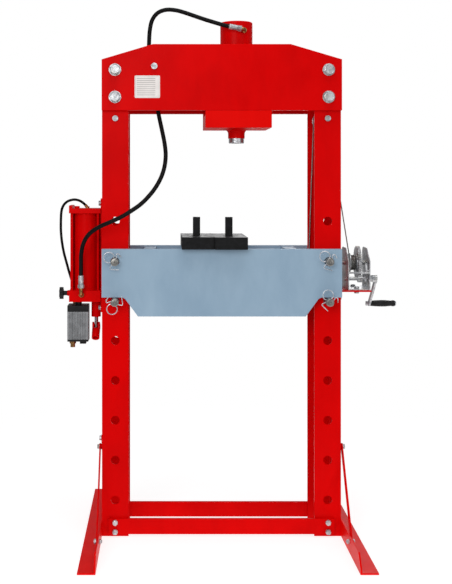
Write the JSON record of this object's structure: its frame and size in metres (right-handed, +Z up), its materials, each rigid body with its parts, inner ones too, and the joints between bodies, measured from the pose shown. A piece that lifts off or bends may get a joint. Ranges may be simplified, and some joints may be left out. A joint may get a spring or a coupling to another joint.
{
  "type": "hydraulic shop press",
  "caption": "Floor-standing hydraulic H-frame shop press with a pinned table raised by a winch, a sliding cylinder and an air-driven pump",
  "frame": {"origin": "on the floor, midway between the two columns and midway through their depth", "axes": "+X to the winch side, +Y to the rear, +Z up"},
  "size_m": [1.329, 1, 1.9969],
  "materials": {
    "red_paint": "gloss red enamel",
    "bright_red_paint": "gloss red enamel, lighter where it faces up",
    "zinc_plate": "zinc plated",
    "pin_steel": "drawn steel, satin",
    "wire_rope": "galvanised wire rope",
    "ram_steel": "ground and polished",
    "spring_steel": "oiled spring steel",
    "black_plastic": "moulded, satin",
    "motor_aluminium": "extruded, satin anodised",
    "brass": "turned",
    "black_rubber": "smooth hose cover",
    "table_paint": "satin blue-grey paint",
    "black_steel": "blackened steel"
  },
  "bodies": {
    "frame": {"column_left": "red_paint", "column_right": "red_paint", "crown_front_plate": "red_paint", "crown_rear_plate": "red_paint", "crown_bolts": "zinc_plate", "lower_beams": "red_paint", "foot_left": "bright_red_paint", "foot_right": "bright_red_paint", "foot_struts": "red_paint", "base_bolts": "zinc_plate", "through_bolts": "zinc_plate", "rope_drop_left": "wire_rope", "rope_drop_right": "wire_rope", "rope_winch_run": "wire_rope", "winch_shelf": "red_paint", "winch_frame": "zinc_plate", "bracket_bolts": "zinc_plate", "pump_bracket": "red_paint", "pump_top_plate": "red_paint", "reservoir": "red_paint", "reservoir_stays": "red_paint", "filler_cap": "red_paint", "valve_block": "red_paint", "air_motor_body": "motor_aluminium", "air_motor_caps": "black_plastic", "air_fittings": "brass", "hand_pump_barrel": "red_paint", "pump_hose_fitting": "zinc_plate", "hydraulic_hose": "black_rubber", "air_hose": "black_rubber"},
    "table": {"table_front_plate": "table_paint", "table_rear_plate": "table_paint", "table_spacers": "table_paint", "table_sheave_axles": "zinc_plate", "rope_table_run": "wire_rope"},
    "upper_left_pin": {"pin_upper_left": "pin_steel"},
    "upper_right_pin": {"pin_upper_right": "pin_steel"},
    "lower_left_pin": {"pin_lower_left": "pin_steel"},
    "lower_right_pin": {"pin_lower_right": "pin_steel"},
    "left_table_sheave": {"table_sheave_left": "zinc_plate"},
    "right_table_sheave": {"table_sheave_right": "zinc_plate"},
    "left_block": {"press_block_left": "black_steel"},
    "right_block": {"press_block_right": "black_steel"},
    "rope_sheave": {"top_sheave": "zinc_plate"},
    "drum": {"winch_drum": "zinc_plate", "winch_gear": "zinc_plate", "winch_rope_coil": "wire_rope"},
    "crank": {"winch_pinion_shaft": "zinc_plate", "winch_crank": "zinc_plate"},
    "grip": {"crank_grip": "black_plastic"},
    "pawl": {"winch_pawl": "zinc_plate"},
    "knob": {"release_knob": "black_plastic"},
    "plunger": {"hand_pump_plunger": "ram_steel"},
    "yoke": {"handle_yoke": "red_paint"},
    "carriage": {"saddle": "bright_red_paint", "cylinder_barrel": "red_paint", "cylinder_hose_fitting": "zinc_plate", "return_spring": "spring_steel"},
    "ram": {"ram": "ram_steel", "piston_seal": "black_rubber"}
  },
  "joints": [
    {"name": "table_lift", "type": "slide", "parent": "frame", "child": "table", "axis": [0, 0, 1], "range_m": [-0.75, 0.15], "deforming": ["rope_drop_left", "rope_drop_right"]},
    {"name": "upper_left_pin_pull", "type": "slide", "parent": "table", "child": "upper_left_pin", "axis": [0, 1, 0], "range_m": [-0.33, 0]},
    {"name": "lower_left_pin_pull", "type": "slide", "parent": "table", "child": "lower_left_pin", "axis": [0, 1, 0], "range_m": [-0.33, 0]},
    {"name": "upper_right_pin_pull", "type": "slide", "parent": "table", "child": "upper_right_pin", "axis": [0, 1, 0], "range_m": [-0.33, 0]},
    {"name": "lower_right_pin_pull", "type": "slide", "parent": "table", "child": "lower_right_pin", "axis": [0, 1, 0], "range_m": [-0.33, 0]},
    {"name": "left_table_sheave_spin", "type": "hinge", "parent": "table", "child": "left_table_sheave", "pos_m": [-0.327, 0.079, 0.9253], "axis": [0, 1, 0], "continuous": true},
    {"name": "right_table_sheave_spin", "type": "hinge", "parent": "table", "child": "right_table_sheave", "pos_m": [0.327, 0.079, 0.9253], "axis": [0, 1, 0], "continuous": true},
    {"name": "left_block_shift", "type": "slide", "parent": "table", "child": "left_block", "axis": [1, 0, 0], "range_m": [-0.12, 0]},
    {"name": "right_block_shift", "type": "slide", "parent": "table", "child": "right_block", "axis": [1, 0, 0], "range_m": [0, 0.12]},
    {"name": "rope_sheave_spin", "type": "hinge", "parent": "frame", "child": "rope_sheave", "pos_m": [0.4, 0.079, 1.573], "axis": [0, 1, 0], "continuous": true},
    {"name": "drum_spin", "type": "hinge", "parent": "frame", "child": "drum", "pos_m": [0.5, 0.047, 1.019], "axis": [1, 0, 0], "continuous": true},
    {"name": "crank_spin", "type": "hinge", "parent": "frame", "child": "crank", "pos_m": [0.5, 0, 0.96055], "axis": [1, 0, 0], "continuous": true},
    {"name": "grip_spin", "type": "hinge", "parent": "crank", "child": "grip", "pos_m": [0.65, 0.13545, 0.84978], "axis": [1, 0, 0], "continuous": true},
    {"name": "pawl_lift", "type": "hinge", "parent": "frame", "child": "pawl", "pos_m": [0.555, -0.028, 0.994], "axis": [1, 0, 0], "range_deg": [-50, 0]},
    {"name": "knob_turn", "type": "hinge", "parent": "frame", "child": "knob", "pos_m": [-0.59, 0, 0.905], "axis": [1, 0, 0], "range_deg": [0, 180]},
    {"name": "plunger_stroke", "type": "slide", "parent": "frame", "child": "plunger", "axis": [0, 0, 1], "range_m": [-0.014, 0]},
    {"name": "yoke_swing", "type": "hinge", "parent": "plunger", "child": "yoke", "pos_m": [-0.478, 0, 0.783], "axis": [1, 0, 0], "range_deg": [-1, 32]},
    {"name": "cylinder_traverse", "type": "slide", "parent": "frame", "child": "carriage", "axis": [1, 0, 0], "range_m": [-0.14, 0.15], "deforming": ["hydraulic_hose"]},
    {"name": "ram_extend", "type": "slide", "parent": "carriage", "child": "ram", "axis": [0, 0, -1], "range_m": [0, 0.2], "deforming": ["return_spring"]}
  ],
  "couplings": [
    {"joint": "crank_spin", "follows": "drum_spin", "ratio": -5.25},
    {"joint": "yoke_swing", "follows": "plunger_stroke", "rad_per_m": -35}
  ]
}
